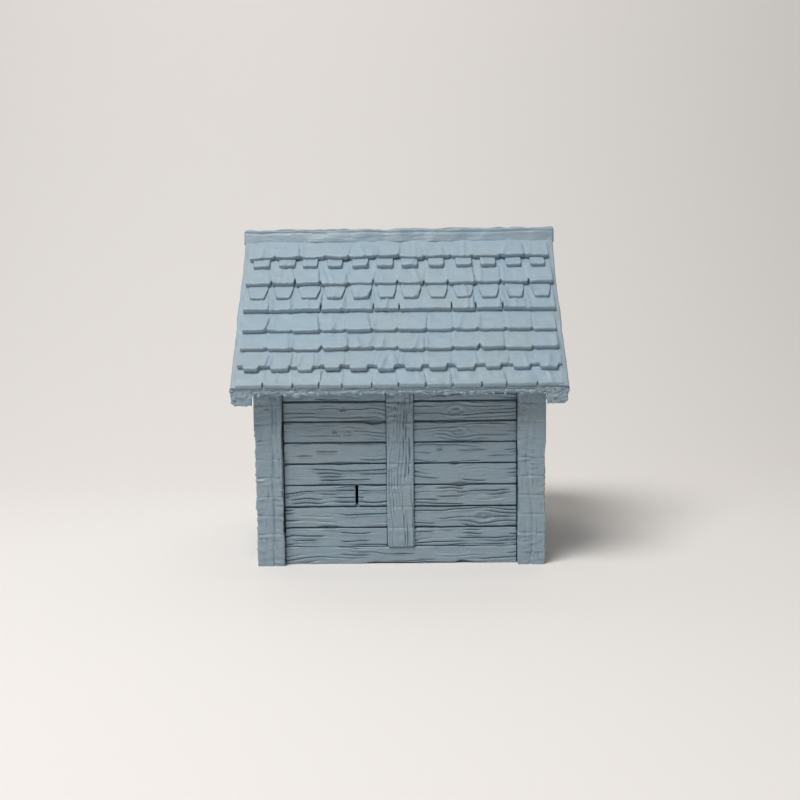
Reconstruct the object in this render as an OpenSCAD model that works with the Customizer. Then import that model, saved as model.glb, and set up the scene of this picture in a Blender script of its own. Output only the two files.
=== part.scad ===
// Model hay barn: a hollow, printed miniature with plank walls between posts,
// a shingled gable roof and an open underside. Lengths are in millimetres.
// +X runs along the ridge to the right, +Y to the back, +Z up; the origin is
// in the middle of the footprint, at the level the barn stands on.

/* [Footprint] */
// Length over the corner posts, along the ridge
wall_l = 96; // [72:1:140]
// Depth over the corner posts, across the ridge
wall_d = 85; // [60:1:120]

/* [Posts] */
// Width of each corner post, both ways
post_w = 9.4; // [7:0.1:13]
// Width of the posts in the middle of each wall
mid_post_w = 9; // [6:0.1:13]
// How far the corner posts stand proud of the boards
post_proud = 3; // [1:0.1:4]
// How far the middle posts stand proud of the boards
mid_post_proud = 1.5; // [0.5:0.1:3]

/* [Walls] */
// Thickness of the backing wall behind the boards
core_t = 2; // [1:0.1:2.6]
// Thickness of the boards
board_t = 1.6; // [1:0.1:2]
// Height from one gap between boards to the next
board_pitch = 7.05; // [4:0.05:12]
// Height from the sill to the first gap: the lowest board is a narrow one
low_board = 6; // [4:0.1:12]
// Height of the gap between two boards
board_gap = 0.6; // [0.3:0.05:1.2]
// Depth of the gap between two boards
gap_depth = 0.9; // [0.3:0.05:0.9]
// Height of the sill beam
sill_h = 5.8; // [3:0.1:9]
// How far the sill beam stands proud of the boards
sill_proud = 0.3; // [0.1:0.1:0.5]

/* [Roof] */
// Slope of the roof, in degrees
roof_pitch = 45; // [32:1:56]
// Height of the top edge of the deck at the eave
eave_z = 60; // [46:1:90]
// How far the eave reaches past the posts
eave_over = 6; // [3:0.5:10]
// How far the roof reaches past the gable posts
verge_over = 6.9; // [4:0.1:12]
// Thickness of the roof deck
deck_t = 1.4; // [1:0.1:3]
// Depth of the barge rafters under the deck
rafter_h = 2.6; // [1.5:0.1:5]
// Width of the short rafter tail over each middle post
tail_w = 3.4; // [2:0.1:6]

/* [Shingles] */
// Number of shingle courses on each slope
courses = 9; // [4:1:14]
// Thickness of a shingle at its head
head_t = 0.8; // [0.4:0.1:1.4]
// Thickness of a shingle at its butt
butt_t = 1.6; // [1.5:0.1:2.4]
// Strip of bare deck left along each verge
verge_strip = 2; // [0:0.1:4]
// How far each ridge board covers the shingles, down the slope
ridge_w = 3.5; // [2:0.1:5]
// Thickness of the ridge boards
ridge_t = 1.9; // [1:0.1:3]
// How far the ridge boards reach past the verges
ridge_over = 0.3; // [0:0.1:1]

/* [Hidden] */
half_l = wall_l / 2;
half_d = wall_d / 2;
cut = 1;                                          // how far cutters reach past a face
roof_run = half_d + eave_over;                    // ridge to eave, level
ridge_z = eave_z + roof_run * tan(roof_pitch);    // top of the deck at the ridge
deck_v = deck_t / cos(roof_pitch);                // thicknesses measured upright
rafter_v = rafter_h / cos(roof_pitch);
slope_l = roof_run / cos(roof_pitch);             // ridge to eave, down the slope
course_l = slope_l / courses;
roof_half = half_l + verge_over;
inner_x = half_l - post_w;                        // inner faces of the corner posts
inner_y = half_d - post_w;
board_inset = post_proud;                         // faces, measured in from the post face
core_inset = post_proud + board_t;
room_inset = core_inset + core_t;
mid_inset = post_proud - mid_post_proud;
sill_inset = post_proud - sill_proud;
board_foot = sill_h + board_gap;                  // underside of the lowest board
first_gap = board_foot + low_board + board_gap / 2;

TIMBER = [0.50, 0.57, 0.62];
BOARDS = [0.46, 0.53, 0.58];
SHINGLES = [0.60, 0.67, 0.72];

// Height of the underside of the deck at a distance y from the ridge line
function under(y) = ridge_z - deck_v - abs(y) * tan(roof_pitch);

// A point on the front slope: s down the slope from the ridge, t up from the deck
function on_slope(s, t) = [
    -s * cos(roof_pitch) - t * sin(roof_pitch),
    ridge_z - s * sin(roof_pitch) + t * cos(roof_pitch)
];

// The same point at a thickness t, moved up the slope to the plane of the ridge
function at_ridge(t) = on_slope(-t * tan(roof_pitch), t);

// Thickness of the first shingle course at a distance s from the ridge
function first_course_t(s) = let (head_s = -head_t * tan(roof_pitch))
    head_t + (butt_t - head_t) * (s - head_s) / (course_l - head_s);

// An outline in Y and Z, drawn out along X
module profile(points, x0, x1)
    translate([x0, 0, 0]) rotate([90, 0, 90]) linear_extrude(x1 - x0) polygon(points);

// An upright slab between two distances y0 < y1, from z0 up to the deck
module to_deck(y0, y1, z0, x0, x1)
    profile([[y0, z0], [y1, z0], [y1, under(y1)], if (y0 * y1 < 0) [0, under(0)], [y0, under(y0)]],
        x0, x1);

// Turns a front piece to the back, or a left piece to the right
module turned() rotate([0, 0, 180]) children();

// Slots between the boards, cut from a face that looks along -Y or -X
module gaps_y(face, x0, x1)
    for (z = [first_gap : board_pitch : ridge_z])
        translate([x0 - cut, face - cut, z - board_gap / 2])
            cube([x1 - x0 + 2 * cut, gap_depth + cut, board_gap]);

module gaps_x(face, y0, y1)
    for (z = [first_gap : board_pitch : ridge_z])
        translate([face - cut, y0 - cut, z - board_gap / 2])
            cube([gap_depth + cut, y1 - y0 + 2 * cut, board_gap]);

// ---- walls ----
module long_wall() color(BOARDS)
    to_deck(-half_d + core_inset, -half_d + room_inset, 0, -inner_x, inner_x);

module gable_wall() color(BOARDS)
    to_deck(-inner_y, inner_y, 0, -half_l + core_inset, -half_l + room_inset);

module long_bay(x0, x1) color(BOARDS)
    difference() {
        to_deck(-half_d + board_inset, -half_d + core_inset, board_foot, x0, x1);
        gaps_y(-half_d + board_inset, x0, x1);
    }

module gable_bay(y0, y1) color(BOARDS)
    difference() {
        to_deck(y0, y1, board_foot, -half_l + board_inset, -half_l + core_inset);
        gaps_x(-half_l + board_inset, y0, y1);
    }

module front_wall() long_wall();
module back_wall() turned() long_wall();
module left_gable_wall() gable_wall();
module right_gable_wall() turned() gable_wall();
module front_left_boards() long_bay(-inner_x, -mid_post_w / 2);
module front_right_boards() long_bay(mid_post_w / 2, inner_x);
module back_left_boards() turned() front_right_boards();
module back_right_boards() turned() front_left_boards();
module left_gable_front_boards() gable_bay(-inner_y, -mid_post_w / 2);
module left_gable_back_boards() gable_bay(mid_post_w / 2, inner_y);
module right_gable_front_boards() turned() left_gable_back_boards();
module right_gable_back_boards() turned() left_gable_front_boards();

// ---- posts ----
module corner_post(x0) color(TIMBER)
    to_deck(-half_d, -inner_y, 0, x0, x0 + post_w);

module long_mid_post() color(TIMBER)
    to_deck(-half_d + mid_inset, -half_d + core_inset, sill_h, -mid_post_w / 2, mid_post_w / 2);

module gable_mid_post() color(TIMBER)
    to_deck(-mid_post_w / 2, mid_post_w / 2, sill_h, -half_l + mid_inset, -half_l + core_inset);

module front_left_post() corner_post(-half_l);
module front_right_post() corner_post(inner_x);
module back_left_post() turned() front_right_post();
module back_right_post() turned() front_left_post();
module front_mid_post() long_mid_post();
module back_mid_post() turned() long_mid_post();
module left_mid_post() gable_mid_post();
module right_mid_post() turned() gable_mid_post();

// ---- sills ----
module long_sill() color(TIMBER)
    translate([-inner_x, -half_d + sill_inset, 0])
        cube([2 * inner_x, core_inset - sill_inset, sill_h]);

module gable_sill() color(TIMBER)
    translate([-half_l + sill_inset, -inner_y, 0])
        cube([core_inset - sill_inset, 2 * inner_y, sill_h]);

module front_sill() long_sill();
module back_sill() turned() long_sill();
module left_sill() gable_sill();
module right_sill() turned() gable_sill();

// ---- roof ----
module deck() color(TIMBER)
    profile([[0, ridge_z], [-roof_run, eave_z], [-roof_run, eave_z - deck_v], [0, ridge_z - deck_v]],
        -roof_half, roof_half);

// Each course swells from its head to its butt, and steps down to the next
module shingle_slope() color(SHINGLES)
    profile([
        on_slope(0, 0), at_ridge(head_t),
        for (i = [1 : courses]) each [
            on_slope(i * course_l, butt_t),
            on_slope(i * course_l, i < courses ? head_t : 0)
        ]
    ], -roof_half + verge_strip, roof_half - verge_strip);

module ridge_board() color(TIMBER)
    profile([
        at_ridge(head_t), on_slope(ridge_w, first_course_t(ridge_w)),
        on_slope(ridge_w, first_course_t(ridge_w) + ridge_t), at_ridge(head_t + ridge_t)
    ], -roof_half - ridge_over, roof_half + ridge_over);

module barge_rafter(x0) color(TIMBER)
    profile([[0, under(0)], [-roof_run, under(roof_run)],
        [-roof_run, under(roof_run) - rafter_v], [0, under(0) - rafter_v]], x0, x0 + verge_over);

// From just inside the eave to the face of the middle post
module rafter_tail() color(TIMBER)
    profile([[-roof_run + deck_t, under(roof_run - deck_t)],
        [-half_d + mid_inset, under(half_d - mid_inset)],
        [-half_d + mid_inset, under(half_d - mid_inset) - rafter_v],
        [-roof_run + deck_t, under(roof_run - deck_t) - rafter_v]], -tail_w / 2, tail_w / 2);

module front_roof_deck() deck();
module back_roof_deck() turned() deck();
module front_shingles() shingle_slope();
module back_shingles() turned() shingle_slope();
module front_ridge_board() ridge_board();
module back_ridge_board() turned() ridge_board();
module front_left_barge_rafter() barge_rafter(-roof_half);
module front_right_barge_rafter() barge_rafter(half_l);
module back_left_barge_rafter() turned() front_right_barge_rafter();
module back_right_barge_rafter() turned() front_left_barge_rafter();
module front_rafter_tail() rafter_tail();
module back_rafter_tail() turned() rafter_tail();

front_wall();
back_wall();
left_gable_wall();
right_gable_wall();
front_left_boards();
front_right_boards();
back_left_boards();
back_right_boards();
left_gable_front_boards();
left_gable_back_boards();
right_gable_front_boards();
right_gable_back_boards();
front_left_post();
front_right_post();
back_left_post();
back_right_post();
front_mid_post();
back_mid_post();
left_mid_post();
right_mid_post();
front_sill();
back_sill();
left_sill();
right_sill();
front_roof_deck();
back_roof_deck();
front_shingles();
back_shingles();
front_ridge_board();
back_ridge_board();
front_left_barge_rafter();
front_right_barge_rafter();
back_left_barge_rafter();
back_right_barge_rafter();
front_rafter_tail();
back_rafter_tail();
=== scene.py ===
"""Looks of the model hay barn, a printed miniature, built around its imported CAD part.

Shapes are worked out in millimetres in the part's frame and turned into metres when a mesh is made.
Boards, posts, shingles and rafters are carved grids, closed behind, that take their places from the
CAD nodes they stand for. Wear comes from seeded noise.
"""
import math
import random

import bmesh
import bpy
import numpy as np
from mathutils import Matrix, Vector


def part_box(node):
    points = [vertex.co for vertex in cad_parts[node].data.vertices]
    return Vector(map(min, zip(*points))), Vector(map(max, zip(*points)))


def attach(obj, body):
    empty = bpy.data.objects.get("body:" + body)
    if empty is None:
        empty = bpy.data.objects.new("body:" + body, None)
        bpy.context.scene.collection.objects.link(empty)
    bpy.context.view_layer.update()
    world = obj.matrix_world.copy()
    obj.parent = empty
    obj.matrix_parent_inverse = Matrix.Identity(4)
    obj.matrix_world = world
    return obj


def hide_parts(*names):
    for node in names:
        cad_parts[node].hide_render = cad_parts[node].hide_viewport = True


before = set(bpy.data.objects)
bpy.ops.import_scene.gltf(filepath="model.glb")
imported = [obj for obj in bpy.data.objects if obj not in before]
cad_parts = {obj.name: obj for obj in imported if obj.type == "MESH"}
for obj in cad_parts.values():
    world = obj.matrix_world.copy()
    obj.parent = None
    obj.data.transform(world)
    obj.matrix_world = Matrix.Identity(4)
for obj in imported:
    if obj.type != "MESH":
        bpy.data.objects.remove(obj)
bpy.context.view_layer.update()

MM = 0.001


# ---------------------------------------------------------------- sizes from the frame

def box_mm(node):
    low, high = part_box(node)
    return [c / MM for c in low], [c / MM for c in high]


post_low, post_high = box_mm("front_left_post")
HALF_L, HALF_D = -post_low[0], -post_low[1]
INNER_L, INNER_D = -post_high[0], -post_high[1]     # inner faces of the corner posts
MID_POST = box_mm("front_mid_post")[1][0]           # half the width of a middle post
MID_FACE = HALF_D + box_mm("front_mid_post")[0][1]  # depths of the faces behind the post face
BOARD_FACE = HALF_D + box_mm("front_left_boards")[0][1]
CORE_FACE = HALF_D + box_mm("front_wall")[0][1]
SILL_FACE = HALF_D + box_mm("front_sill")[0][1]
SILL_H = box_mm("front_sill")[1][2]
deck_low, deck_high = box_mm("front_roof_deck")
ROOF_HALF, RUN, RIDGE_Z = deck_high[0], -deck_low[1], deck_high[2]
UNDER_RIDGE = box_mm("front_left_barge_rafter")[1][2]
DECK_V = RIDGE_Z - UNDER_RIDGE                      # thickness of the deck, upright
EAVE_Z = deck_low[2] + DECK_V
PITCH = math.atan2(RIDGE_Z - EAVE_Z, RUN)
COS, SIN, TAN = math.cos(PITCH), math.sin(PITCH), math.tan(PITCH)
SLOPE_L = RUN / COS
DECK_T = DECK_V * COS
RAFTER_T = (UNDER_RIDGE - RUN * TAN - box_mm("front_left_barge_rafter")[0][2]) * COS
RIDGE_HALF = box_mm("front_ridge_board")[1][0]
RIDGE_TOP = box_mm("front_ridge_board")[1][2]
SHINGLE_HALF = box_mm("front_shingles")[1][0]


def under(y):
    """Height of the underside of the deck at a distance y from the ridge line."""
    return UNDER_RIDGE - abs(y) * TAN


# ---------------------------------------------------------------- noise and profiles

def hashed(ix, iy, seed):
    h = (ix.astype(np.int64) * 374761393 + iy.astype(np.int64) * 668265263 + seed * 974634777) & 0xFFFFFFFF
    h = ((h ^ (h >> 13)) * 1274126177) & 0xFFFFFFFF
    return (h ^ (h >> 16)) / 0x7FFFFFFF - 1.0


def noise(x, y, seed):
    """Smooth noise between -1 and 1, one cell to each unit of x and y."""
    x, y = np.broadcast_arrays(np.asarray(x, float), np.asarray(y, float))
    ix, iy = np.floor(x), np.floor(y)
    fx, fy = x - ix, y - iy
    fx, fy = fx * fx * (3 - 2 * fx), fy * fy * (3 - 2 * fy)
    low = hashed(ix, iy, seed) * (1 - fx) + hashed(ix + 1, iy, seed) * fx
    high = hashed(ix, iy + 1, seed) * (1 - fx) + hashed(ix + 1, iy + 1, seed) * fx
    return low * (1 - fy) + high * fy


def step(x, low, high):
    t = np.clip((np.asarray(x, float) - low) / (high - low), 0, 1)
    return t * t * (3 - 2 * t)


def bump(x, centre, width):
    return np.exp(-((x - centre) / width) ** 2)


def rounded(distance, radius):
    """How far a surface falls back at a distance from an edge of that radius."""
    q = np.clip(1 - distance / radius, 0, 1)
    return radius * (1 - np.sqrt(1 - q * q))


def spaced(length, cell, edge):
    """Places from 0 to length, a cell apart, and closer over the rounded edge at both ends."""
    near = [f * edge for f in (0, 0.12, 0.35, 0.7)]
    count = max(1, round((length - 2 * edge) / cell))
    middle = [edge + (length - 2 * edge) * i / count for i in range(count + 1)]
    return np.array(near + middle + [length - d for d in reversed(near)])


def wood(u, v, seed, depth, period=1.25, run=8.0, knots=()):
    """Carved grain along u. A knot is (u, v, size): the grain bends round it, and rings fill it."""
    line = v + 0.8 * noise(u / 14, v / 4, seed) + 0.3 * noise(u / 4.5, v / 2, seed + 1)
    rings = np.zeros_like(line)
    for ku, kv, size in knots:
        d = np.hypot((u - ku) / 1.8, v - kv) / size
        line = kv + (line - kv) * (1 - 0.8 * np.exp(-d * d))
        rings = rings + 0.3 * np.exp(-d ** 4) * np.cos(7.5 * d) - 0.14 * np.exp(-d * d)
    row = np.floor(line / period)
    across = line / period - row - 0.5
    lift = step(noise(u / run, row * 5.7, seed + 2), -0.2, 0.4)
    groove = np.exp(-(across / 0.15) ** 2) * lift - 0.45 * np.exp(-((across + 0.3) / 0.13) ** 2) * lift
    fine = np.exp(-((line / 0.6 - np.floor(line / 0.6) - 0.5) / 0.22) ** 2)
    fine = fine * step(noise(u / 5, np.floor(line / 0.6) * 3.1, seed + 3), 0.0, 0.5)
    swell = 0.12 * noise(u / 7, v / 2.6, seed + 4) + 0.06 * noise(u / 2.2, v / 0.8, seed + 5)
    return depth * (-groove - 0.22 * fine) + swell + rings


# ---------------------------------------------------------------- meshes

class Solids:
    """Closed solids gathered into one mesh, in millimetres."""

    def __init__(self):
        self.points, self.faces, self.count = [], [], 0

    def add(self, points, faces):
        points = np.asarray(points, float).reshape(-1, 3)
        self.faces += [tuple(i + self.count for i in face) for face in faces]
        self.points.append(points)
        self.count += len(points)

    def make(self, name, slot, material, replaces=(), sharp=38):
        mesh = bpy.data.meshes.new(name)
        mesh.from_pydata((np.concatenate(self.points) * MM).tolist(), [], self.faces)
        work = bmesh.new()
        work.from_mesh(mesh)
        bmesh.ops.recalc_face_normals(work, faces=work.faces)
        work.to_mesh(mesh)
        work.free()
        mesh.polygons.foreach_set("use_smooth", [True] * len(mesh.polygons))
        mesh.set_sharp_from_angle(angle=math.radians(sharp))
        mesh.materials.append(material)
        piece = bpy.data.objects.new(name, mesh)
        bpy.context.scene.collection.objects.link(piece)
        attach(piece, "root")
        if replaces:
            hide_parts(*replaces)
        return piece


def slab_faces(nu, nv):
    """Faces of a closed slab: nu by nv points in front, then the ring of its edge again behind."""
    idx = np.arange(nu * nv).reshape(nu, nv)
    quads = np.stack([idx[:-1, :-1], idx[1:, :-1], idx[1:, 1:], idx[:-1, 1:]], -1).reshape(-1, 4)
    ring = np.concatenate([idx[:-1, 0], idx[-1, :-1], idx[:0:-1, -1], idx[0, :0:-1]])
    back = nu * nv + np.arange(len(ring))
    sides = np.stack([ring, back, np.roll(back, -1), np.roll(ring, -1)], -1)
    return ring, quads.tolist() + sides.tolist() + [back[::-1].tolist()]


def slab(solids, place, u, v, shape):
    """A carved slab. shape(U, V) gives its front as U, V, W and the depth W of its back."""
    grid_u, grid_v = np.meshgrid(u, v, indexing="ij")
    fu, fv, fw, depth = shape(grid_u, grid_v)
    ring, faces = slab_faces(*grid_u.shape)
    flat = [np.asarray(c, float).reshape(-1) for c in (fu, fv, fw)]
    back = [flat[0][ring], flat[1][ring], np.full(len(ring), -float(depth))]
    whole = [np.concatenate(pair) for pair in zip(flat, back)]
    solids.add(np.stack(place(*whole), -1), faces)


def tube(solids, place, a0, a1, b0, b1, radius, cell, along, shape):
    """A carved beam: a rounded rectangle in a and b, drawn out. shape(p, A, B, L) gives the
    outward relief and the place along the beam, with p the way round from the corner a1, b1."""
    ring = []
    corners = [(a1, b1, -1, -1, 0), (a0, b1, 1, -1, 90), (a0, b0, 1, 1, 180), (a1, b0, -1, 1, 270)]
    for k, (ca, cb, da, db, start) in enumerate(corners):
        for turn in (0, 22.5, 45, 67.5, 90):
            angle = math.radians(start + turn)
            na, nb = math.cos(angle), math.sin(angle)
            ring.append((ca + radius * (da + na), cb + radius * (db + nb), na, nb))
        begin = ring[-1][:2]
        next_a, next_b, next_da, next_db, next_start = corners[(k + 1) % 4]
        facing = math.radians(next_start if k < 3 else 360)
        na, nb = math.cos(facing), math.sin(facing)
        end = (next_a + radius * (next_da + na), next_b + radius * (next_db + nb))
        count = max(1, round(math.dist(begin, end) / cell))
        for i in range(1, count):
            f = i / count
            ring.append((begin[0] + (end[0] - begin[0]) * f, begin[1] + (end[1] - begin[1]) * f, na, nb))
    ring = np.array(ring)
    steps = np.hypot(*(np.roll(ring[:, :2], -1, 0) - ring[:, :2]).T)
    way = np.concatenate([[0], np.cumsum(steps)[:-1]])
    nl, nr = len(along), len(ring)
    grid_l, grid_p = np.meshgrid(along, way, indexing="ij")
    a, b = np.tile(ring[:, 0], (nl, 1)), np.tile(ring[:, 1], (nl, 1))
    relief, length_at = shape(grid_p, a, b, grid_l)
    a, b = a + relief * ring[:, 2], b + relief * ring[:, 3]
    idx = np.arange(nl * nr).reshape(nl, nr)
    nxt = np.roll(idx, -1, 1)
    quads = np.stack([idx[:-1], nxt[:-1], nxt[1:], idx[1:]], -1).reshape(-1, 4)
    faces = quads.tolist() + [idx[0, ::-1].tolist(), idx[-1].tolist()]
    flat = [np.asarray(c, float).reshape(-1) for c in (a, b, length_at)]
    solids.add(np.stack(place(*flat), -1), faces)


# ---------------------------------------------------------------- places on the barn

def on_wall(side, face):
    """Puts u (left to right seen from outside), v (up) and w (outward) on a wall."""
    def place(u, v, w):
        if side == "front":
            return u, -HALF_D + face - w, v
        if side == "back":
            return -u, HALF_D - face + w, v
        if side == "left":
            return -HALF_L + face - w, -u, v
        return HALF_L - face + w, u, v
    return place


def on_slope(side):
    """Puts u (along X), s (down the slope) and t (up from the deck) on a roof slope."""
    sign = -1 if side == "front" else 1

    def place(u, s, t):
        y = s * COS + t * SIN
        return -sign * u, sign * y, RIDGE_Z - s * SIN + t * COS
    return place


# ---------------------------------------------------------------- materials

def plastic(name, tone, seed, grain=(260.0, 260.0, 2600.0), depth=0.00010):
    """Grey-blue printed plastic: a drift of warmer and cooler patches, fine lines of the print's
    layers, small specks and pits, and a slightly uneven satin sheen."""
    mat = bpy.data.materials.new(name)
    mat.use_nodes = True
    nodes, links = mat.node_tree.nodes, mat.node_tree.links
    shader = nodes["Principled BSDF"]
    shader.inputs["Specular IOR Level"].default_value = 0.5
    place = nodes.new("ShaderNodeTexCoord")

    def noise_at(scale, detail, roughness, stretch=(1, 1, 1), shift=0.0):
        mapping = nodes.new("ShaderNodeMapping")
        mapping.inputs["Scale"].default_value = stretch
        mapping.inputs["Location"].default_value = (seed + shift, seed * 0.7, seed * 0.3)
        links.new(place.outputs["Object"], mapping.inputs["Vector"])
        tex = nodes.new("ShaderNodeTexNoise")
        tex.inputs["Scale"].default_value = scale
        tex.inputs["Detail"].default_value = detail
        tex.inputs["Roughness"].default_value = roughness
        links.new(mapping.outputs["Vector"], tex.inputs["Vector"])
        return tex.outputs["Fac"]

    def ramp(value, stops):
        node = nodes.new("ShaderNodeValToRGB")
        for i, (at, colour) in enumerate(stops):
            stop = node.color_ramp.elements[i] if i < 2 else node.color_ramp.elements.new(at)
            stop.position = at
            stop.color = (*colour, 1)
        links.new(value, node.inputs["Fac"])
        return node.outputs["Color"]

    def mix(kind, factor, first, second):
        node = nodes.new("ShaderNodeMix")
        node.data_type = "RGBA"
        node.blend_type = kind
        node.inputs["Factor"].default_value = factor
        links.new(first, node.inputs["A"])
        links.new(second, node.inputs["B"])
        return node.outputs["Result"]

    warm = [c * f for c, f in zip(tone, (1.015, 0.995, 0.975))]
    cool = [c * f for c, f in zip(tone, (0.975, 1.0, 1.025))]
    patches = ramp(noise_at(70, 3, 0.5), [(0.38, warm), (0.62, cool)])
    streaks = ramp(noise_at(1, 4, 0.6, grain, 3.1), [(0.25, (0.90,) * 3), (0.75, (1.06,) * 3)])
    specks = ramp(noise_at(2600, 2, 0.5, shift=7.7), [(0.30, (0.93,) * 3), (0.70, (1.05,) * 3)])
    colour = mix("MULTIPLY", 1.0, patches, streaks)
    colour = mix("MULTIPLY", 1.0, colour, specks)
    links.new(colour, shader.inputs["Base Color"])

    rough = nodes.new("ShaderNodeMapRange")
    rough.inputs["To Min"].default_value = 0.36
    rough.inputs["To Max"].default_value = 0.54
    links.new(noise_at(300, 2, 0.5, shift=2.2), rough.inputs["Value"])
    links.new(rough.outputs["Result"], shader.inputs["Roughness"])

    lines = nodes.new("ShaderNodeBump")
    lines.inputs["Distance"].default_value = depth
    lines.inputs["Strength"].default_value = 0.8
    links.new(noise_at(1, 3, 0.65, grain, 3.1), lines.inputs["Height"])
    pits = nodes.new("ShaderNodeBump")
    pits.inputs["Distance"].default_value = 0.00005
    pits.inputs["Strength"].default_value = 0.6
    links.new(noise_at(1500, 3, 0.6, shift=9.4), pits.inputs["Height"])
    links.new(lines.outputs["Normal"], pits.inputs["Normal"])
    links.new(pits.outputs["Normal"], shader.inputs["Normal"])
    return mat


TONE = (0.288, 0.378, 0.442)
MATERIALS = {
    # Painted light: the shingles are 1.13 times the tone, against about 1.02 for the rest of the same
    # plastic, to stand in for the extra light the upward-facing roof catches.
    "roof_shingles": plastic("roof_shingles", [c * 1.13 for c in TONE], 1.3),
    "roof_timber": plastic("roof_timber", [c * 1.02 for c in TONE], 5.9),
    "frame_timber": plastic("frame_timber", [c * 1.03 for c in TONE], 11.2, depth=0.00016),
    "wall_boards": plastic("wall_boards", [c * 1.02 for c in TONE], 17.7),
}


# ---------------------------------------------------------------- walls

BOARD_GAP = 0.55
BOARD_FOOT = SILL_H + 0.15
END_GAP = 0.08                                      # between a board's end and the post beside it
# Heights of the gaps between the boards, from the sill up
GAPS = [12.3, 19.4, 26.7, 33.9, 41.0, 48.0, 54.7] + [61.8 + 7.05 * i for i in range(7)]

# The slot that goes through the front boards and their wall: its sides in the boards and in the wall
SLOT_BOARDS = (-14.96, -14.14)
SLOT_WALL = (-15.05, -14.05)
SLOT_FOOT, SLOT_HEAD = 19.9, 26.4
# Knots of the front boards: x, z and size
FRONT_KNOTS = [(-18.7, 52.0, 0.9), (-21.5, 44.6, 0.8), (-17.0, 44.2, 1.6), (18.5, 51.3, 2.2),
               (19.5, 44.4, 2.0), (13.2, 38.3, 0.9), (27.7, 15.8, 2.3)]
# Hollows worn into the edges of the boards: x, z, half width and depth
FRONT_NICKS = [(-8.5, 48.0, 3.4, 0.75), (18.0, 34.0, 2.4, 0.45), (19.8, 26.6, 3.0, 0.6),
               (19.0, 47.9, 4.0, 0.3), (-20.0, 34.0, 3.0, 0.25)]


def grain_depth(z, rng):
    """The grain is carved deeper low on the wall."""
    return (0.82 - 0.48 * float(step(z, 22, 48))) * rng.uniform(0.8, 1.15)


def board(solids, place, u0, u1, z0, z1, seed, depth, knots, nicks, reach=None, cell=(0.55, 0.2)):
    """One carved board between u0 and u1. reach(z) limits how far out it goes, under a slope."""
    width, height, edge = u1 - u0, z1 - z0, 0.34
    outward = 1 if u0 + u1 > 0 else -1

    def shape(u, v):
        end = np.minimum(u, width - u)
        side = np.minimum(v, height - v)
        relief = wood(u + u0, v + z0, seed, depth, knots=knots)
        w = relief - rounded(side, edge) - 0.7 * rounded(end, edge)
        w = np.minimum(w, 0.22)
        low = 0.16 * noise((u + u0) / 7, 0.5, seed + 10) + 0.05 * noise((u + u0) / 2, 0.5, seed + 11)
        high = 0.16 * noise((u + u0) / 7, 0.5, seed + 12) + 0.05 * noise((u + u0) / 2, 0.5, seed + 13)
        for nx, nz, half, deep in nicks:
            if abs(nz - z0) < 1:
                low = low + deep * bump(u + u0, nx, half * 0.7)
            if abs(nz - z1) < 1:
                high = high - deep * bump(u + u0, nx, half * 0.7)
        z = z0 + v + low * (1 - v / height) + high * v / height
        pulled = rounded(side, 0.5) * (1 - 2 * u / width)
        x = u0 + u + pulled
        if reach is not None:
            limit = reach(z)
            inner = u0 if outward > 0 else u1
            part = (x - inner) / (u1 - u0) * outward
            x = inner + part * (np.minimum(max(abs(u0), abs(u1)), limit) - abs(inner)) * outward
        return x, z, w, CORE_FACE - BOARD_FACE

    slab(solids, place, spaced(width, cell[0], edge), spaced(height, cell[1], edge), shape)


def bay(side, name, u0, u1, top, seed, reach=None):
    """The boards of one bay, from the sill to the roof."""
    rng = random.Random(seed)
    solids = Solids()
    place = on_wall(side, BOARD_FACE)
    front = side == "front"
    edges = [BOARD_FOOT] + [z for z in GAPS if z < top - 2] + [top]
    cell = {"front": (0.55, 0.2), "back": (0.8, 0.28)}.get(side, (0.9, 0.32))
    for row in range(len(edges) - 1):
        z0 = edges[row] + (BOARD_GAP / 2 if row else 0)
        z1 = edges[row + 1] - (BOARD_GAP / 2 if row + 2 < len(edges) else 0)
        knots = [k for k in FRONT_KNOTS if front and u0 < k[0] < u1 and z0 < k[1] < z1]
        if not front:
            knots = [(rng.uniform(u0 + 4, u1 - 4), rng.uniform(z0 + 2, z1 - 2), rng.uniform(0.8, 1.9))
                     for _ in range(rng.choice((0, 0, 1, 1)))]
        nicks = [n for n in FRONT_NICKS if front and u0 < n[0] < u1]
        depth = grain_depth(z0, rng)
        spans = [(u0, u1)]
        if name == "front_left_boards" and z0 < (SLOT_FOOT + SLOT_HEAD) / 2 < z1:
            spans = [(u0, SLOT_BOARDS[0]), (SLOT_BOARDS[1], u1)]
        for a, b in spans:
            board(solids, place, a + END_GAP, b - END_GAP, z0, z1, seed * 31 + row, depth, knots, nicks,
                  reach, cell)
    solids.make(name + "_carved", "wall_boards", MATERIALS["wall_boards"], [name])


def long_bays():
    top = under(HALF_D - BOARD_FACE) - 0.05
    bay("front", "front_left_boards", -INNER_L, -MID_POST, top, 3)
    bay("front", "front_right_boards", MID_POST, INNER_L, top, 4)
    bay("back", "back_right_boards", -INNER_L, -MID_POST, top, 5)
    bay("back", "back_left_boards", MID_POST, INNER_L, top, 6)


def gable_bays():
    top = under(MID_POST) - 2.0

    def reach(z):
        return (UNDER_RIDGE - z) / TAN - 0.05
    bay("left", "left_gable_back_boards", -INNER_D, -MID_POST, top, 7, reach)
    bay("left", "left_gable_front_boards", MID_POST, INNER_D, top, 8, reach)
    bay("right", "right_gable_front_boards", -INNER_D, -MID_POST, top, 9, reach)
    bay("right", "right_gable_back_boards", MID_POST, INNER_D, top, 10, reach)


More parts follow.
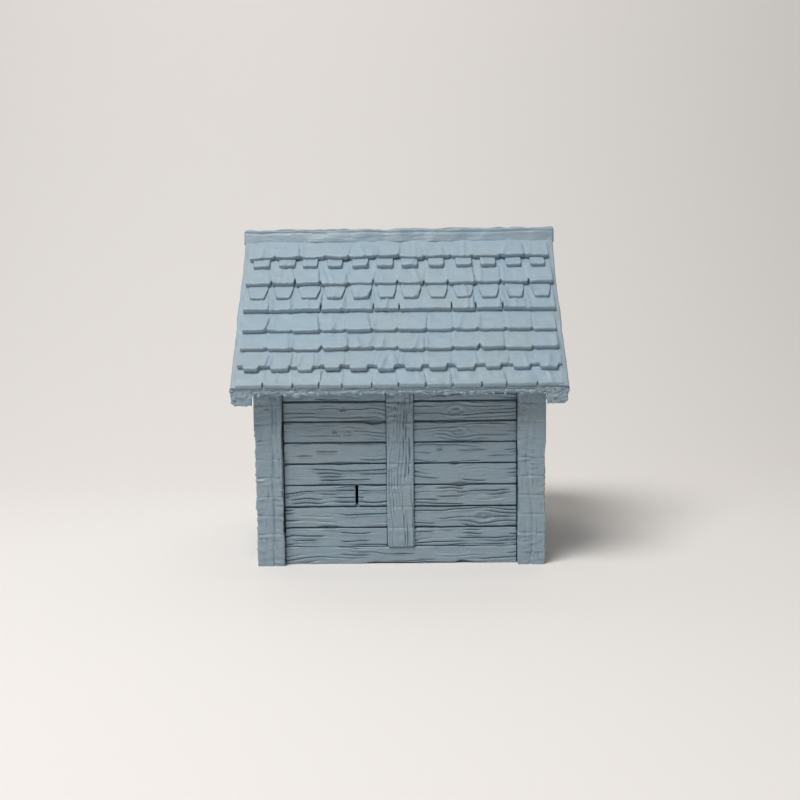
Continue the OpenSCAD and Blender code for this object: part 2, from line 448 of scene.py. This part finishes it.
def wall_with_slot():
    """The wall behind the front boards, with the slot between two boards going through it."""
    low, high = box_mm("front_wall")
    left, right = SLOT_WALL
    slot = [(left, SLOT_FOOT), (right, SLOT_FOOT), (right, SLOT_HEAD), (left, SLOT_HEAD)]
    points = []
    for y, top in ((low[1], high[2] - (high[1] - low[1]) * TAN), (high[1], high[2])):
        edge = [(low[0], low[2]), (high[0], low[2]), (high[0], top), (low[0], top)]
        points += [(x, y, z) for x, z in edge + slot]
    faces = []
    for i in range(4):
        j = (i + 1) % 4
        faces += [(i, j, 4 + j, 4 + i), (8 + i, 8 + j, 12 + j, 12 + i)]
        faces += [(i, j, 8 + j, 8 + i), (4 + i, 4 + j, 12 + j, 12 + i)]
    solids = Solids()
    solids.add(points, faces)
    solids.make("front_wall_slotted", "wall_boards", MATERIALS["wall_boards"], ["front_wall"])


def sill(side, name, inner, seed):
    """A low beam between the corner posts, worn in scallops and nicked underneath."""
    rng = random.Random(seed)
    solids = Solids()
    width, edge = 2 * inner - 0.1, 0.5
    scoops = [(rng.uniform(-inner, inner), rng.uniform(3.4, 5.6), rng.uniform(4, 8)) for _ in range(3)]
    lifts = [(rng.uniform(-inner, inner), rng.uniform(1.5, 3.5), rng.uniform(0.3, 0.8)) for _ in range(5)]
    if side == "front":
        scoops = [(-27.0, 4.6, 7.5), (17.0, 4.4, 7.0)]
        lifts = [(-1.0, 6.0, 0.55), (-9.0, 3.0, 0.5), (20.5, 2.2, 0.9), (14.0, 3.0, 0.35)]

    def shape(u, v):
        x = u - width / 2
        side_d = np.minimum(v, SILL_H - v)
        w = wood(x, v, seed, 0.6, period=1.15)
        w = w - rounded(side_d, edge) - rounded(np.minimum(u, width - u), 0.3)
        for cx, cz, half in scoops:
            d = np.hypot((x - cx) / half, (v - cz) / 1.7)
            w = w * (1 - 0.9 * (1 - step(d, 0.8, 1.05))) - 0.22 * (1 - step(d, 0.75, 1.05))
        w = np.minimum(w, 0.1)
        z = v + 0.14 * noise(x / 5, 0.5, seed + 5) * v / SILL_H
        low = sum(deep * bump(x, cx, half) for cx, half, deep in lifts)
        z = z + low * (1 - step(v, 0.0, 1.6))
        return x, z, w, CORE_FACE - SILL_FACE

    slab(solids, on_wall(side, SILL_FACE), spaced(width, 0.55, edge), spaced(SILL_H, 0.2, edge), shape)
    solids.make(name + "_carved", "frame_timber", MATERIALS["frame_timber"], [name])


# ---------------------------------------------------------------- posts

def print_lines(p, z, seed):
    """Faint lines that the print leaves round a post where the gaps of the boards begin."""
    lines = np.zeros_like(z)
    for gap in GAPS:
        at = z + 0.12 * noise(p / 4, gap, seed)
        lines = lines - 0.24 * bump(at, gap, 0.30) + 0.12 * bump(at, gap - 0.8, 0.35)
    return lines


def post_relief(p, z, seed, depth=0.2):
    relief = wood(z, p, seed, depth, period=1.0, run=12.0)
    relief = relief + print_lines(p, z, seed)
    rough = step(noise(p / 5, z / 9, seed + 7), -0.5, 0.3)
    relief = relief + 0.26 * noise(p / 2.4, z / 0.75, seed + 6) * rough
    return relief + 0.22 * noise(0.5, z / 8, seed + 8)


def corner_post(name, sign_x, sign_y, seed):
    """A square post with its outer corner at sign_x, sign_y, cut to the slope at its top."""
    solids = Solids()
    width = HALF_L - INNER_L

    def place(a, b, z):
        return sign_x * (INNER_L + a), sign_y * (INNER_D + b), z

    def shape(p, a, b, z):
        relief = np.minimum(post_relief(p, z, seed) - 0.28, 0.0)
        on_face = step(b, width - 0.6, width - 0.3)
        if sign_y < 0 and sign_x < 0:
            crack = width - 6.0 + 0.25 * noise(z / 6, 0.5, seed)
            relief = relief - 0.5 * bump(a, crack, 0.3) * on_face
            relief = relief - 0.4 * bump(a, width - 7.3, 0.25) * on_face * step(z, 47, 52)
        if sign_y < 0 and sign_x > 0:
            fold = 4.2 + 0.9 * np.sin(z / 9.0)
            relief = relief - 0.3 * bump(a, fold, 0.5) * on_face
        bulge = 0.28 * step(z, 48, 51) * (1 - step(z, 70, 76))
        relief = np.minimum(relief + bulge * step(a + b, width, 2 * width), 0.0)
        top = under(INNER_D + b + relief * step(b, width - 1, width)) - 0.02
        return relief, z * top / under(INNER_D)

    rows, cell = (185, 0.42) if sign_y < 0 else (130, 0.6)
    along = np.linspace(0, under(INNER_D), rows)
    tube(solids, place, 0.0, width, 0.0, width, 0.7, cell, along, shape)
    solids.make(name + "_carved", "frame_timber", MATERIALS["frame_timber"], [name])


def mid_post(side, name, seed):
    """A flat post on the boards, with rounded lower corners that sit on the sill."""
    solids = Solids()
    gable = side in ("left", "right")
    width, edge = 2 * MID_POST, 0.6
    peak = under(0) if gable else under(HALF_D - MID_FACE)
    height = peak - SILL_H

    def shape(u, v):
        x, z = u - width / 2, v + SILL_H
        right = step(x, -0.5, 1.5)
        w = post_relief(u, z, seed, 0.26 + 0.26 * right) - 0.28
        w = w - rounded(np.minimum(u, width - u), edge) - rounded(v, edge)
        w = np.minimum(w, 0.0)
        x = x + rounded(v, 0.9) * (1 - 2 * u / width) + 0.12 * noise(0.5, z / 9, seed + 20)
        top = (under(x) if gable else peak) - 0.05
        return x, SILL_H + v * (top - SILL_H) / height, w, CORE_FACE - MID_FACE

    slab(solids, on_wall(side, MID_FACE), spaced(width, 0.28, edge), spaced(height, 0.45, edge), shape)
    solids.make(name + "_carved", "frame_timber", MATERIALS["frame_timber"], [name])


def frame_timbers():
    corner_post("front_left_post", -1, -1, 41)
    corner_post("front_right_post", 1, -1, 42)
    corner_post("back_left_post", -1, 1, 43)
    corner_post("back_right_post", 1, 1, 44)
    for i, side in enumerate(("front", "back", "left", "right")):
        mid_post(side, side + "_mid_post", 51 + i)
        sill(side, side + "_sill", INNER_L if i < 2 else INNER_D, 61 + i)


# ---------------------------------------------------------------- roof

def verge_x(s, seed):
    """How far out the wavy edge of the roof lies, at a distance s down the slope."""
    return ROOF_HALF - 0.42 + 0.27 * noise(s / 9, 0.5, seed) + 0.12 * noise(s / 3.2, 0.5, seed + 1)


def edge_seed(side, sign):
    return {("front", -1): 71, ("front", 1): 72, ("back", -1): 73, ("back", 1): 74}[(side, sign)]


def deck(side):
    """The board under the shingles, wavy at both verges, flat underneath. It stops just short of
    the eave, behind the lip."""
    solids = Solids()
    left, right = edge_seed(side, -1), edge_seed(side, 1)
    end = SLOPE_L - 0.35
    edge_u = np.linspace(0, 4, 6)
    u = np.concatenate([-ROOF_HALF + edge_u, np.linspace(-48, 48, 60), ROOF_HALF - edge_u[::-1]])
    grid_u, part = np.meshgrid(u, np.linspace(0, 1, 60), indexing="ij")
    t = 0.05 * noise(grid_u / 5, part * 14, left + 5) - 0.06
    s = part * end - t * TAN * (1 - part)
    x = np.where(grid_u < 0, grid_u * verge_x(s, left), grid_u * verge_x(s, right)) / ROOF_HALF
    ring, faces = slab_faces(*grid_u.shape)
    front = [c.reshape(-1) for c in (x, s, t)]
    s_back = part * end + DECK_T * TAN
    back = [front[0][ring], s_back.reshape(-1)[ring], np.full(len(ring), -DECK_T)]
    solids.add(np.stack(on_slope(side)(*[np.concatenate(c) for c in zip(front, back)]), -1), faces)
    return solids


def eave_lip(solids, side, seed):
    """The ragged front edge of the deck, below the butts of the lowest shingles."""
    half, height = ROOF_HALF - 1.0, DECK_V + 0.2
    sign = -1 if side == "front" else 1

    def place(x, z, w):
        return x, sign * (RUN - 0.25 + w), z

    def shape(u, v):
        x = u - half
        w = 0.28 * noise(x / 2.6, v / 1.3, seed) + 0.2 * noise(x / 0.8, v / 0.6, seed + 1)
        w = w + 0.15 - 0.5 * bump(v, 1.35 + 0.2 * noise(x / 3, 0.5, seed + 2), 0.2)
        w = w - rounded(np.minimum(v, height - v), 0.4)
        low = 0.35 + 0.4 * noise(x / 3.5, 0.5, seed + 3) + 0.3 * noise(x / 0.9, 0.5, seed + 4)
        z = EAVE_Z - DECK_V + v + np.maximum(low, 0.0) * (1 - v / height)
        return x, z, np.minimum(w, 0.6), 0.8

    slab(solids, place, spaced(2 * half, 0.36, 0.3), spaced(height, 0.2, 0.3), shape)


# The courses of one slope, from the ridge down. Each is a dict:
# edge: where its lower edge lies down the slope; lift: height of its butt above the deck;
# head: where it starts under the course above; kind: how its butts are cut; sway: how wavy they are
COURSES = [
    dict(edge=11.5, lift=2.7, head=0.3, kind="full", sway=0.35),
    dict(edge=16.0, lift=2.65, head=8.0, kind="tabs", sway=0.12),
    dict(edge=24.1, lift=2.5, head=9.6, kind="parted", sway=0.2),
    dict(edge=31.1, lift=2.65, head=20.5, kind="tapered", sway=0.15),
    dict(edge=36.2, lift=2.6, head=22.2, kind="slit", sway=0.12),
    dict(edge=45.4, lift=2.3, head=33.6, kind="full", sway=0.2),
    dict(edge=53.5, lift=2.4, head=42.8, kind="stepped", sway=0.15),
    dict(edge=60.6, lift=2.35, head=50.9, kind="long", sway=0.2),
    dict(edge=SLOPE_L - 0.3, lift=1.5, head=58.0, kind="eave", sway=0.12),
]
COLUMNS = 12
BUTT_T = 1.3            # thickness of a course at its butt
BUTT_RIM = 0.42         # radius of a butt's upper edge
HEAD_T = 0.55           # height of a course's head above the deck
# By kind: how much the columns' butts step up and down, half the width of a tab, and how far above
# a tab's butt the sheet between two tabs ends, hidden under the course above
STEPS = {"full": 0.3, "parted": 0.35, "slit": 0.15, "stepped": 0.55, "long": 0.3, "eave": 0.2}
TAB_HALF = {"tabs": 2.6, "tapered": 3.4, "long": 2.7}
TAB_LENGTH = {"tabs": 5.6, "tapered": 8.6}


def window(x, low, high, soft):
    """1 between low and high and 0 outside, with edges softened by soft on either side."""
    return step(x, low - soft, low + soft) - step(x, high - soft, high + soft)


def tab_spans(joints, kind, rng):
    """Where each column's tab hangs down: from and to."""
    spans = []
    for a, b in zip(joints, joints[1:]):
        centre = (a + b) / 2 + rng.uniform(-0.35, 0.35)
        half = TAB_HALF[kind] + rng.uniform(-0.25, 0.35)
        centre = min(max(centre, joints[0] + half), joints[-1] - half)
        spans.append((centre - half, centre + half))
    return spans


def cuts_between(joints, kind, rng):
    """Cuts up from the butts at the joints: place, half width and height."""
    inner = joints[1:-1]
    if kind == "slit":
        return [(x, 0.24, rng.uniform(2.4, 3.2)) for k, x in enumerate(inner) if k in (2, 4, 5, 7, 8, 9)]
    if kind == "parted":
        return [(x, 0.3, rng.uniform(0.7, 1.5)) for k, x in enumerate(inner) if k not in (3, 8)]
    if kind == "stepped":
        return [(x, 0.7, rng.uniform(1.0, 1.3)) for k, x in enumerate(inner) if k in (2, 8)]
    if kind == "eave":
        return [(x + rng.uniform(-0.5, 0.5), rng.uniform(0.15, 0.4), rng.uniform(0.6, 1.3)) for x in inner]
    return []


def course_plan(spec, rng):
    """What sets one course apart: its joints, tabs and cuts, and each column's step, height and folds."""
    kind = spec["kind"]
    half = SHINGLE_HALF - 0.2 + rng.uniform(-0.15, 0.15)
    pitch = 2 * half / COLUMNS
    joints = [-half] + [-half + pitch * k + rng.uniform(-0.75, 0.75) for k in range(1, COLUMNS)] + [half]
    plan = dict(spec, half=half, joints=joints)
    plan["spans"] = tab_spans(joints, kind, rng) if kind in TAB_HALF else []
    plan["cuts"] = cuts_between(joints, kind, rng)
    plan["drops"] = [rng.uniform(-1, 1) * STEPS.get(kind, 0.15) for _ in range(COLUMNS)]
    heights = [rng.uniform(-0.25, 0.4) for _ in range(COLUMNS)]
    plan["leans"] = [rng.uniform(-0.16, 0.16) for _ in joints]
    plan["folds"] = [rng.choice((0.0, 0.12, 0.3, 0.45)) for _ in joints]
    if kind in TAB_LENGTH:
        heights = [0.15 + 0.5 * abs(h) for h in heights]
    if kind == "slit":
        heights = [h * 0.4 for h in heights]
    plan["heights"] = heights
    plan["ends"] = [x for span in plan["spans"] for x in span]
    plan["ends"] += [x + k * wide for x, wide, _ in plan["cuts"] for k in (-1, 1)]
    return plan


def across_course(plan, count):
    """Places across a course, closer together at the sides of its columns, tabs and cuts."""
    half = plan["half"]
    marks = plan["ends"] + plan["joints"][1:-1]
    near = [x + d for x in marks for d in (-0.24, -0.12, -0.04, 0.04, 0.12, 0.24)]
    u = np.array(sorted(set(np.round(near + list(np.linspace(-half, half, count)), 3))))
    return u[(u >= -half) & (u <= half)]


def butt_line(u, plan, tag):
    """How far down the slope the course reaches at each place across it."""
    kind, joints, spans = plan["kind"], plan["joints"], plan["spans"]
    foot = plan["edge"] + plan["sway"] * noise(u / 5, 0.5, tag) + 0.12 * noise(u / 1.2, 0.5, tag + 1)
    for k, (a, b) in enumerate(zip(joints, joints[1:])):
        foot = foot + plan["drops"][k] * window(u, a, b, 0.12)
        foot = foot - 0.3 * (bump(u, a, 0.5) + bump(u, b, 0.5)) * (kind in ("full", "parted", "stepped"))
    if spans:
        hang = sum(window(u, a, b, 0.3 if kind == "long" else 0.1) for a, b in spans)
        corner = sum(rounded(np.minimum(np.abs(u - a), np.abs(u - b)), 0.7) * (u > a) * (u < b)
                     for a, b in spans)
        tip = foot + (1.7 if kind == "long" else 0.0) - corner
        level = foot if kind == "long" else np.full_like(u, plan["edge"] - TAB_LENGTH[kind])
        foot = level + (tip - level) * np.clip(hang, 0, 1)
    for x, wide, high in plan["cuts"]:
        if kind == "stepped":
            cut = np.clip(1 - np.abs(u - x) / (wide * 1.5), 0, 1)
        else:
            cut = window(u, x - wide, x + wide, 0.1)
        foot = foot - high * cut
    return np.minimum(foot, SLOPE_L - 0.2)


def sheet_top(u, s, foot, plan, rng):
    """Height of the sheet above the deck: it rises to its butt, folded at and between its joints."""
    kind, edge, head, lift = plan["kind"], plan["edge"], plan["head"], plan["lift"]
    joints, leans, folds = plan["joints"], plan["leans"], plan["folds"]
    base = edge if kind != "long" else edge + 0.8
    top = HEAD_T + (lift - HEAD_T) * np.clip((s - head) / (base - head), 0, 1.15)
    shown = step(s, head + 1.0, head + (edge - head) * 0.75)
    for k, (a, b) in enumerate(zip(joints, joints[1:])):
        start, end = a + leans[k] * (s - edge), b + leans[k + 1] * (s - edge)
        top = top + plan["heights"][k] * window(u, start, end, 0.45) * shown
        if k:
            top = top - folds[k] * bump(u, start, 0.34) * shown
            top = top + 0.6 * folds[k] * bump(u, start + (0.85 if k % 3 else -0.85), 0.45) * shown
    for _ in range(9):
        at, lean = rng.uniform(-plan["half"], plan["half"]), rng.uniform(-0.35, 0.35)
        top = top + rng.uniform(0.2, 0.45) * bump(u + lean * (s - edge), at, 0.6) * shown
    top = top + 0.16 * noise(u / 3.2, s / 3.0, 5) + 0.06 * noise(u / 1.1, s / 1.2, 6)
    top = np.minimum(top, lift + 0.6) if kind != "eave" else np.minimum(top, 1.5)
    to_foot = foot[:, None] - s
    top = top + 0.15 * bump(to_foot, 0.6, 0.3) - rounded(to_foot, BUTT_RIM)
    if plan["ends"]:
        away = np.min([np.abs(u - x) for x in plan["ends"]], 0)
        free = edge - TAB_LENGTH.get(kind, 0.0) if plan["spans"] else foot.min()
        top = top - rounded(away, 0.3) * step(s, free - 0.2, free + 0.3) * (1 if plan["spans"] else 0.6)
    return top


def course(solids, side, row, seed):
    """One course: a sheet draped over the one below and cut along its butts, in columns that line
    up down the roof but wander a little from row to row."""
    count, cell = (230, 0.62) if side == "front" else (140, 0.8)
    rng = random.Random(seed * 100 + row)
    plan = course_plan(COURSES[row], rng)
    edge, head = plan["edge"], plan["head"]
    u = across_course(plan, count)
    foot = butt_line(u, plan, seed * 1000 + row * 20)

    # Each row of points lies a share of the way down, and the last ones round the butt's rim
    shares = max(5, round((edge - head) / cell))
    parts = [(g / shares, 0.0) for g in range(shares)] + [(1.0 - 0.3 / (edge - head), 0.0), (1.0, 0.0)]
    parts += [(1.0, d) for d in (0.16, 0.29, 0.38, BUTT_RIM)]
    s_grid = np.stack([head + (foot - head - BUTT_RIM) * g + d for g, d in parts], 1)
    u_grid = np.repeat(u[:, None], len(parts), 1)
    top = sheet_top(u_grid, s_grid, foot, plan, rng)

    x_grid = u_grid
    if plan["kind"] == "tapered":
        for a, b in plan["spans"]:
            inside = ((u_grid > a - 0.25) & (u_grid < b + 0.25)) * step(s_grid, edge - 5.5, edge)
            x_grid = x_grid - inside * (u_grid - (a + b) / 2) * 0.27
    under_top = np.maximum(top - BUTT_T, -0.3)

    ring, faces = slab_faces(*u_grid.shape)
    front = [c.reshape(-1) for c in (x_grid, s_grid, top)]
    back = [front[0][ring], front[1][ring], under_top.reshape(-1)[ring]]
    solids.add(np.stack(on_slope(side)(*[np.concatenate(c) for c in zip(front, back)]), -1), faces)


def shingles(side, seed):
    solids = Solids()
    for row in range(len(COURSES)):
        course(solids, side, row, seed)
    name = side + "_shingles"
    solids.make(name + "_carved", "roof_shingles", MATERIALS["roof_shingles"], [name])


def verge_strips(solids, side):
    """A rough strip of board along each verge, beside the shingles."""
    for sign in (-1, 1):
        seed = edge_seed(side, sign)
        place = on_slope(side)
        width, edge = 3.4, 0.5

        def shape(u, v, seed=seed, sign=sign):
            w = 0.9 + wood(u, v * 1.6, seed + 30, 0.14) - rounded(np.minimum(v, width - v), edge)
            outer = verge_x(u, seed)
            x = outer - width + v
            return sign * x, u, w, 0.1

        s = np.linspace(1.2, SLOPE_L - 0.05, 130)
        slab(solids, place, s, spaced(width, 0.4, edge), shape)


def barge_rafter(side, sign, name):
    """The beam under the verge, narrower at its lower face, with a rough-cut end at the eave."""
    solids = Solids()
    seed = edge_seed(side, sign)
    inner = HALF_L + 0.02

    def place(a, b, s):
        return on_slope(side)(sign * a, s, b)

    def shape(p, a, b, f):
        s = (-b * TAN) * (1 - f) + ((RUN - 0.6 - b * SIN) / COS) * f
        relief = np.minimum(wood(s, p, seed + 50, 0.2, period=1.0) - 0.3, -0.02)
        wander = (verge_x(s, seed) - ROOF_HALF) * step(a, HALF_L + 1, ROOF_HALF)
        taper = 0.55 * (-b - DECK_T) * step(a, HALF_L + 3, ROOF_HALF)
        return relief + (wander - taper) * step(a, ROOF_HALF - 1.2, ROOF_HALF), s

    along = np.linspace(0, 1, 150)
    tube(solids, place, inner, ROOF_HALF, -DECK_T - RAFTER_T, -DECK_T, 0.6, 0.5, along, shape)
    rafter_end(solids, side, sign, seed)
    solids.make(name + "_carved", "roof_timber", MATERIALS["roof_timber"], [name])


def rafter_end(solids, side, sign, seed):
    """The flaky cut end of a barge rafter: a block of ragged ledges that faces outward."""
    x0, x1 = HALF_L - 0.7, ROOF_HALF - 0.1
    z0, z1 = EAVE_Z - DECK_V - RAFTER_T / COS + 0.3, EAVE_Z + 0.1
    out = 1 if side == "back" else -1
    width, height = x1 - x0, z1 - z0

    def place(x, z, w):
        return sign * x, out * (RUN - 0.1 + w), z

    def shape(u, v):
        ledge = np.floor(v / 0.95 + 0.5 * noise(u / 2.2, 0.5, seed + 60))
        chip = hashed(np.floor(u / 1.7 + 0.3 * ledge), ledge, seed + 61)
        w = 0.30 + 0.28 * chip + 0.12 * noise(u / 0.9, v / 0.5, seed + 62)
        w = w - rounded(np.minimum(np.minimum(u, width - u), np.minimum(v, height - v)), 0.45)
        pull = 1.5 * (1 - v / height) ** 1.4
        x = x0 + u - pull * u / width + 0.25 * (1 - v / height) * (1 - u / width)
        x = x + 0.2 * noise(v / 0.8, u / 9, seed + 63)
        z = z0 + v + 0.25 * noise(u / 1.2, 0.5, seed + 64) * (1 - v / height)
        return x, z, np.minimum(w, 0.8), 1.0

    slab(solids, place, spaced(width, 0.2, 0.4), spaced(height, 0.2, 0.4), shape)


def ridge_board(side, seed):
    """Half of the ridge cap: a narrow top strip that turns down into a steeper face."""
    solids = Solids()
    sign = -1 if side == "front" else 1
    width, edge = 2 * RIDGE_HALF, 0.4
    top_w, face_w = 1.5, 4.5
    top_tilt, face_tilt = math.radians(14), math.radians(74)

    def place(x, v, w):
        over = np.clip(v - top_w, 0, None)
        flat = np.minimum(v, top_w)
        y = flat * math.cos(top_tilt) + over * math.cos(face_tilt)
        z = -flat * math.sin(top_tilt) - over * math.sin(face_tilt)
        blend = step(v, top_w - 0.7, top_w + 0.7)
        tilt = top_tilt + (face_tilt - top_tilt) * blend
        return x, sign * (y + w * np.sin(tilt)), RIDGE_TOP - 0.3 + z + w * np.cos(tilt)

    def shape(u, v):
        x = u - width / 2
        w = 0.6 * wood(x, v, seed, 0.14, period=1.5) - rounded(np.minimum(u, width - u), 0.8)
        w = w - rounded(np.minimum(v + 0.4, top_w + face_w - v), edge)
        w = w - 0.22 * bump(v, top_w + 0.9 + 0.3 * noise(x / 7, 0.5, seed + 6), 0.3)
        w = w + 0.4 * noise(x / 6, v / 5, seed + 3) + 0.14 * noise(x / 2.4, v / 3, seed + 4) - 0.1
        v2 = v + 0.2 * noise(x / 5, 0.5, seed + 5) * v / (top_w + face_w)
        return x, v2, np.minimum(w, 0.28), 2.6

    slab(solids, place, spaced(width, 0.5, 0.8), spaced(top_w + face_w, 0.3, edge), shape)
    name = side + "_ridge_board"
    solids.make(name + "_carved", "roof_timber", MATERIALS["roof_timber"], [name])


def eave_drips(solids, side, seed, count=70):
    """Blobs and strings of plastic that the print left under the edge of the eave."""
    rng = random.Random(seed)
    sign = -1 if side == "front" else 1
    for _ in range(count):
        x = rng.uniform(-ROOF_HALF + 7, ROOF_HALF - 7)
        size = rng.choice((0.28, 0.34, 0.4, 0.62))
        below = DECK_V * rng.uniform(0.35, 1.05)
        centre = Vector((x, sign * (RUN - 0.1 + rng.uniform(-0.2, 0.3)), EAVE_Z - below))
        work = bmesh.new()
        bmesh.ops.create_icosphere(work, subdivisions=2, radius=1.0)
        stretch = Vector((rng.uniform(0.8, 2.6), 0.8, rng.uniform(0.7, 1.4)))
        points = [centre + Vector([c * k * size * rng.uniform(0.85, 1.1) for c, k in zip(p.co, stretch)])
                  for p in work.verts]
        solids.add([tuple(p) for p in points], [[p.index for p in f.verts] for f in work.faces])
        work.free()


def roof(side, seed):
    base = deck(side)
    verge_strips(base, side)
    eave_lip(base, side, seed + 20)
    eave_drips(base, side, seed)
    base.make(side + "_roof_deck_carved", "roof_timber", MATERIALS["roof_timber"], [side + "_roof_deck"])
    shingles(side, seed)
    ridge_board(side, seed + 7)
    for sign, hand in ((-1, "left"), (1, "right")):
        barge_rafter(side, sign, f"{side}_{hand}_barge_rafter")


def rafter_tail(side, seed):
    """The stub of a rafter that shows over a middle post."""
    solids = Solids()
    low, high = box_mm(side + "_rafter_tail")
    reach = high[1] - low[1]

    def place(a, b, f):
        y = (HALF_D - MID_FACE) * (1 - f) + (HALF_D - MID_FACE + reach) * f
        sign = -1 if side == "front" else 1
        return a, sign * y, UNDER_RIDGE - y * TAN + b

    def shape(p, a, b, f):
        return np.minimum(0.12 * noise(p / 0.8, f * 6, seed) - 0.12, 0), f

    tube(solids, place, low[0], high[0], -RAFTER_T / COS, 0.0, 0.5, 0.35, np.linspace(0, 1, 18), shape)
    name = side + "_rafter_tail"
    solids.make(name + "_carved", "roof_timber", MATERIALS["roof_timber"], [name])


# ---------------------------------------------------------------- stage, lights and camera

def sweep():
    """A pale floor that curves up into a backdrop."""
    bend, back, wide, front, high = 280, 110, 1500, -1200, 1300
    path = [(front, 0.0)] + [(back * i / 8, 0.0) for i in range(9)]
    path += [(back + bend * math.sin(math.radians(a)), bend - bend * math.cos(math.radians(a)))
             for a in range(6, 91, 6)]
    path += [(back + bend, high)]
    points = [(x, y, z) for y, z in path for x in (-wide, wide)]
    mesh = bpy.data.meshes.new("floor")
    mesh.from_pydata([[c * MM for c in p] for p in points], [],
                     [(2 * i, 2 * i + 1, 2 * i + 3, 2 * i + 2) for i in range(len(path) - 1)])
    mesh.polygons.foreach_set("use_smooth", [True] * len(mesh.polygons))
    floor = bpy.data.objects.new("floor", mesh)
    bpy.context.scene.collection.objects.link(floor)
    mat = bpy.data.materials.new("floor_paper")
    mat.use_nodes = True
    shader = mat.node_tree.nodes["Principled BSDF"]
    shader.inputs["Base Color"].default_value = (0.86, 0.835, 0.81, 1)
    shader.inputs["Roughness"].default_value = 0.9
    mesh.materials.append(mat)


def area_light(name, at, target, size, power, colour=(1, 1, 1)):
    data = bpy.data.lights.new(name, "AREA")
    data.shape = "DISK"
    data.size = size * MM
    data.energy = power
    data.color = colour
    lamp = bpy.data.objects.new(name, data)
    lamp.location = Vector(at) * MM
    lamp.rotation_euler = (Vector(target) - Vector(at)).to_track_quat("-Z", "Y").to_euler()
    bpy.context.scene.collection.objects.link(lamp)


def lights():
    area_light("key", (-210, -320, 680), (0, 0, 40), 400, 4.8, (1.0, 0.985, 0.97))
    area_light("backdrop", (60, 60, 760), (40, 420, 520), 320, 0.45, (1.0, 0.99, 0.98))
    world = bpy.data.worlds.new("studio")
    world.use_nodes = True
    world.node_tree.nodes["Background"].inputs["Color"].default_value = (1.0, 0.99, 0.975, 1)
    world.node_tree.nodes["Background"].inputs["Strength"].default_value = 0.13
    bpy.context.scene.world = world
    bpy.context.scene.view_settings.view_transform = "Standard"


def camera():
    """The camera stands in front of the long wall, below the height of the ridge, looking down a little."""
    data = bpy.data.cameras.new("camera")
    data.sensor_width = 36.0
    data.lens = 51.75
    data.clip_start = 0.01
    cam = bpy.data.objects.new("camera", data)
    at = Vector((3.7, -HALF_D - 373.1, 100.9)) * MM
    down, turn, lean = math.radians(6.94), math.radians(-0.54), math.radians(-0.62)
    ahead = Vector((math.sin(turn) * math.cos(down), math.cos(turn) * math.cos(down), -math.sin(down)))
    right = Vector((math.cos(turn), -math.sin(turn), 0))
    up = right.cross(ahead)
    right, up = right * math.cos(lean) + up * math.sin(lean), up * math.cos(lean) - right * math.sin(lean)
    turned = Matrix((right, up, -ahead)).transposed().to_4x4()
    cam.matrix_world = Matrix.Translation(at) @ turned
    bpy.context.scene.collection.objects.link(cam)
    bpy.context.scene.camera = cam


# ---------------------------------------------------------------- the whole barn

camera()
lights()
sweep()
long_bays()
gable_bays()
frame_timbers()
wall_with_slot()
for slope_side, slope_seed in (("front", 81), ("back", 82)):
    roof(slope_side, slope_seed)
    rafter_tail(slope_side, slope_seed + 10)
for wall in ("front_wall", "back_wall", "left_gable_wall", "right_gable_wall"):
    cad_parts[wall].data.materials.clear()
    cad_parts[wall].data.materials.append(MATERIALS["wall_boards"])
